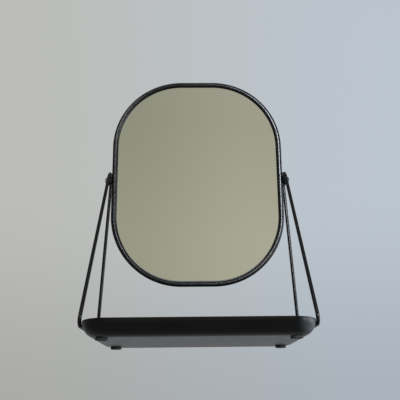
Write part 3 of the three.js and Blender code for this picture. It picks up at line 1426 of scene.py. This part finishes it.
    def tapes(self, finishes: Finishes) -> None:
        """Dresses the foam tapes, whose plain strips are already right.

        Args:
            finishes: The object's materials.
        """
        for name in ("glass_tape_top", "glass_tape_middle", "glass_tape_bottom"):
            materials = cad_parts[name].data.materials
            materials.clear()
            materials.append(finishes.foam_tape)
            log.info("%s: dressed", name)


# ---- the studio ----


class KeepOff(Enum):
    """What a light leaves unlit."""

    NOTHING = "nothing"
    FLOOR = "floor"
    FLAT_FACES = "floor, glass and tray"


@dataclass(frozen=True)
class Softbox:
    """One rectangular area light that faces the mirror.

    The azimuth is counted from straight in front towards +X, and the elevation upwards, both in degrees.
    """

    name: str
    azimuth: float
    elevation: float
    distance: float
    size: tuple[float, float]
    colour: Tint
    radiance: float
    keeps_off: KeepOff = KeepOff.FLOOR
    spread: float = 180.0  # the full angle that a grid on the light leaves open, in degrees
    aim: tuple[float, float, float] = (0.0, 0.0, 0.0)  # counted from the target

    def build(self, target: Vector, spared: dict[KeepOff, Collection]) -> Object:
        """Adds the light.

        Args:
            target: The point that it is set round, and faces unless it is aimed beside it.
            spared: What each kind of light leaves unlit.

        Returns:
            The light.
        """
        azimuth, elevation = math.radians(self.azimuth), math.radians(self.elevation)
        level = math.cos(elevation)
        away = Vector((math.sin(azimuth) * level, -math.cos(azimuth) * level, math.sin(elevation)))
        data = bpy.data.lights.new(self.name, "AREA")
        data.shape = "RECTANGLE"
        data.size, data.size_y = self.size
        data.color = self.colour
        data.energy = self.radiance * math.pi * self.size[0] * self.size[1]
        if self.spread < 180.0:
            half = math.radians(self.spread) / 2
            data.spread = 2 * half
            data.energy *= 1 - half / math.tan(half)  # the brightness straight on stays as it was
        light = add_object(self.name, data)
        light.location = target + away * self.distance
        facing = light.location - target - Vector(self.aim)
        light.rotation_euler = facing.to_track_quat("Z", "Y").to_euler()
        light.visible_camera = False
        if self.keeps_off in spared:
            light.light_linking.receiver_collection = spared[self.keeps_off]
        return light


@dataclass
class Studio:
    """The camera, the lights, the pale surroundings and the floor."""

    camera_place: Vector = field(default_factory=lambda: Vector((-5.5, -500.1, -51.4)) * MM)
    camera_pitch: float = 0.4128
    camera_yaw: float = 0.0168
    camera_roll: float = 0.012
    lens: float = 40.5
    near_clip: float = 10 * MM
    floor_half: float = 60.0
    floor_drop: float = 0.2 * MM
    floor_colour: Colour = (0.45, 0.45, 0.44, 1.0)
    floor_glow: Colour = (0.335, 0.34, 0.335, 1.0)
    room_dim: Colour = (0.19, 0.19, 0.187, 1.0)
    room_above: Colour = (0.32, 0.32, 0.315, 1.0)
    room_behind: Colour = (0.27, 0.28, 0.29, 1.0)
    room_right: Colour = (1.25, 1.42, 1.6, 1.0)
    backdrop_warm: Colour = (0.50, 0.505, 0.475, 1.0)
    backdrop_cool: Colour = (0.50, 0.56, 0.63, 1.0)
    backdrop_plain: Colour = (0.50, 0.505, 0.50, 1.0)
    card_place: tuple[float, float, float] = (0.02, -1.4, 0.26)
    card_half: float = 0.5
    card_left: Colour = (0.34, 0.333, 0.262, 1.0)
    card_right: Colour = (0.42, 0.408, 0.326, 1.0)
    softboxes: tuple[Softbox, ...] = (
        Softbox("window_right", 16.0, 5.0, 1.3, (0.22, 0.9), (0.86, 0.93, 1.0), 105.0,
                KeepOff.FLAT_FACES, spread=30.0, aim=(0.20, 0.0, 0.0)),
        Softbox("lamp_left", -16.0, 13.0, 1.3, (0.22, 0.35), (1.0, 0.97, 0.93), 26.0,
                KeepOff.FLAT_FACES, spread=22.0, aim=(-0.12, 0.0, -0.06)),
        Softbox("side_right", 80.0, -3.0, 1.5, (1.6, 0.8), (0.84, 0.93, 1.0), 2.0),
        Softbox("rear_left", -140.0, 30.0, 1.5, (0.7, 0.7), (1.0, 0.98, 0.95), 1.6),
        Softbox("rear_right", 145.0, 25.0, 1.5, (0.7, 0.7), (0.93, 0.97, 1.0), 1.6),
        Softbox("rear_middle", 180.0, 15.0, 1.5, (1.0, 0.3), (1.0, 1.0, 1.0), 0.8),
        Softbox("overhead", 0.0, 80.0, 1.5, (1.0, 0.8), (1.0, 1.0, 1.0), 1.5, KeepOff.NOTHING),
    )

    def camera(self) -> None:
        """Sets the camera low in front, looking up at the glass."""
        data = bpy.data.cameras.new("camera")
        data.lens = self.lens
        data.clip_start = self.near_clip
        camera = add_object("camera", data)
        camera.matrix_world = (
            Matrix.Translation(self.camera_place) @ Matrix.Rotation(-self.camera_yaw, 4, "Z")
            @ Matrix.Rotation(math.pi / 2 + self.camera_pitch, 4, "X")
            @ Matrix.Rotation(-self.camera_roll, 4, "Z")
        )
        bpy.context.scene.camera = camera

    def room(self, wiring: Wiring, axes: Node) -> NodeSocket:
        """The room that lights the object and shows in its gloss.

        Args:
            wiring: The world's wiring.
            axes: The node that gives a direction's X, Y and Z.

        Returns:
            The socket of a colour that is dim all round, lighter above and low behind, and bright low
            on the right.
        """
        x, y, z = (axes.outputs[axis] for axis in "XYZ")
        low = wiring.ramp(z, 0.3, -0.05)
        colour = wiring.blend(wiring.ramp(z, 0.2, 0.9), self.room_dim, self.room_above)
        behind = wiring.calculate("MULTIPLY", wiring.ramp(y, 0.2, 0.85), low)
        colour = wiring.blend(behind, colour, self.room_behind)
        window = wiring.calculate("MULTIPLY", wiring.ramp(x, 0.45, 0.95), low)
        return wiring.blend(window, colour, self.room_right)

    def backdrop(self, wiring: Wiring, axes: Node) -> NodeSocket:
        """The pale surroundings that the camera sees.

        Args:
            wiring: The world's wiring.
            axes: The node that gives a direction's X, Y and Z.

        Returns:
            The socket of a colour that is warm on the left and cool on the right behind the object, and
            plain elsewhere.
        """
        x, y, z = (axes.outputs[axis] for axis in "XYZ")
        # The warm and the cool tint are painted light: the colours that a warm lamp on the left and a
        # cool window on the right cast on a wall.
        tinted = wiring.blend(wiring.ramp(x, -0.45, 0.45), self.backdrop_warm, self.backdrop_cool)
        colour = wiring.blend(wiring.ramp(y, 0.2, 0.7), self.backdrop_plain, tinted)
        # The colour also grows darker towards the bottom.
        return wiring.shade(colour, wiring.ramp(z, -0.05, 0.4, 0.8, 1.0))

    def world(self) -> None:
        """Surrounds the object with the room, and shows the camera the backdrop in its place."""
        world = bpy.data.worlds.new("studio")
        world.use_nodes = True
        world.node_tree.nodes.clear()
        wiring = Wiring(world.node_tree)
        direction = wiring.add("ShaderNodeTexCoord").outputs["Generated"]
        axes = wiring.add("ShaderNodeSeparateXYZ", {"Vector": direction})
        seen = wiring.add("ShaderNodeLightPath").outputs["Is Camera Ray"]
        colour = wiring.blend(seen, self.room(wiring, axes), self.backdrop(wiring, axes))
        background = wiring.add("ShaderNodeBackground", {"Color": colour, "Strength": 1.0})
        wiring.add("ShaderNodeOutputWorld", {"Surface": background.outputs["Background"]})
        bpy.context.scene.world = world

    def room_card(self) -> Object:
        """Sets up the large glowing card in front of the glass, the plain wall that the mirror shows.

        Returns:
            The card.
        """
        material, wiring = new_material("room card")
        coordinate = wiring.add("ShaderNodeTexCoord").outputs["Object"]
        spot = wiring.add("ShaderNodeSeparateXYZ", {"Vector": coordinate})
        wall = wiring.blend(wiring.ramp(spot.outputs["X"], -0.35, 0.3), self.card_left, self.card_right)
        height = wiring.ramp(spot.outputs["Z"], 0.0, 0.48, 1.05, 0.92, eased=False)
        glow = wiring.add("ShaderNodeEmission", {"Color": wiring.shade(wall, height), "Strength": 1.0})
        wiring.add("ShaderNodeOutputMaterial", {"Surface": glow.outputs["Emission"]})
        place = Matrix.Translation(self.card_place) @ Matrix.Rotation(-math.pi / 2, 4, "X")
        card = new_piece("room_card", sheet(self.card_half), place, material)
        card.visible_camera = False
        card.visible_diffuse = False
        card.visible_shadow = False
        card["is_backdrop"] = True
        return card

    def floor(self) -> Object:
        """Lays the pale floor, which is solid from above and clear from below.

        Returns:
            The floor.
        """
        material, wiring = new_material("pale floor")
        matt = wiring.add("ShaderNodeBsdfDiffuse", {"Color": self.floor_colour})
        glow = wiring.add("ShaderNodeEmission", {"Color": self.floor_glow})
        pale = wiring.add("ShaderNodeAddShader", {
            "Shader": matt.outputs["BSDF"], "Shader_001": glow.outputs["Emission"],
        })
        clear = wiring.add("ShaderNodeBsdfTransparent")
        under = wiring.add("ShaderNodeNewGeometry")
        either = wiring.add("ShaderNodeMixShader", {
            "Fac": under.outputs["Backfacing"], "Shader": pale.outputs["Shader"],
            "Shader_001": clear.outputs["BSDF"],
        })
        wiring.add("ShaderNodeOutputMaterial", {"Surface": either.outputs["Shader"]})
        place = Matrix.Translation((0, 0, CAD_BOX[0][2] - self.floor_drop))
        floor = new_piece("floor", sheet(self.floor_half), place, material)
        floor.visible_diffuse = False
        floor.visible_glossy = False
        floor.visible_shadow = False
        floor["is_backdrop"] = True
        return floor

    def build(self, target: Vector) -> Collection:
        """Sets up the whole studio.

        Args:
            target: The point that the lights are set round.

        Returns:
            The collection of what the two front lights leave unlit, which glass and tray join later.
        """
        self.camera()
        self.world()
        self.room_card()
        kinds = (KeepOff.FLOOR, KeepOff.FLAT_FACES)
        spared = {kind: bpy.data.collections.new(kind.value) for kind in kinds}
        floor = self.floor()
        for collection in spared.values():
            spare(collection, floor)
        for softbox in self.softboxes:
            softbox.build(target, spared)
        bpy.context.scene.view_settings.view_transform = "Standard"
        return spared[KeepOff.FLAT_FACES]


def spare(spared: Collection, piece: Object) -> None:
    """Adds a piece to what some lights leave unlit.

    Args:
        spared: The collection that those lights leave unlit.
        piece: The piece.
    """
    spared.objects.link(piece)
    for member in spared.collection_objects:
        member.light_linking.link_state = "EXCLUDE"


def main() -> None:
    """Builds the studio and every piece in turn."""
    logging.basicConfig(level=logging.INFO, format="%(name)s: %(message)s")
    head = MirrorHead()
    spared = Studio().build(head.pivot)
    finishes = Finishes()
    bent_bar, set_out = BentBar(), SetOut()
    spare(spared, Tray().build(finishes))
    Feet().build(finishes, set_out)
    SideWires().build(finishes, bent_bar)
    hardware = PivotHardware()
    hardware.eyes(finishes, set_out)
    hardware.nylon_washers(finishes, set_out)
    hardware.spring_washers(head.tilt, finishes, set_out)
    hardware.screws(head.tilt, finishes, set_out)
    head.frame(finishes, bent_bar)
    spare(spared, head.glass(finishes))
    head.back_plate(finishes)
    head.tapes(finishes)


if __name__ == "__main__":
    main()
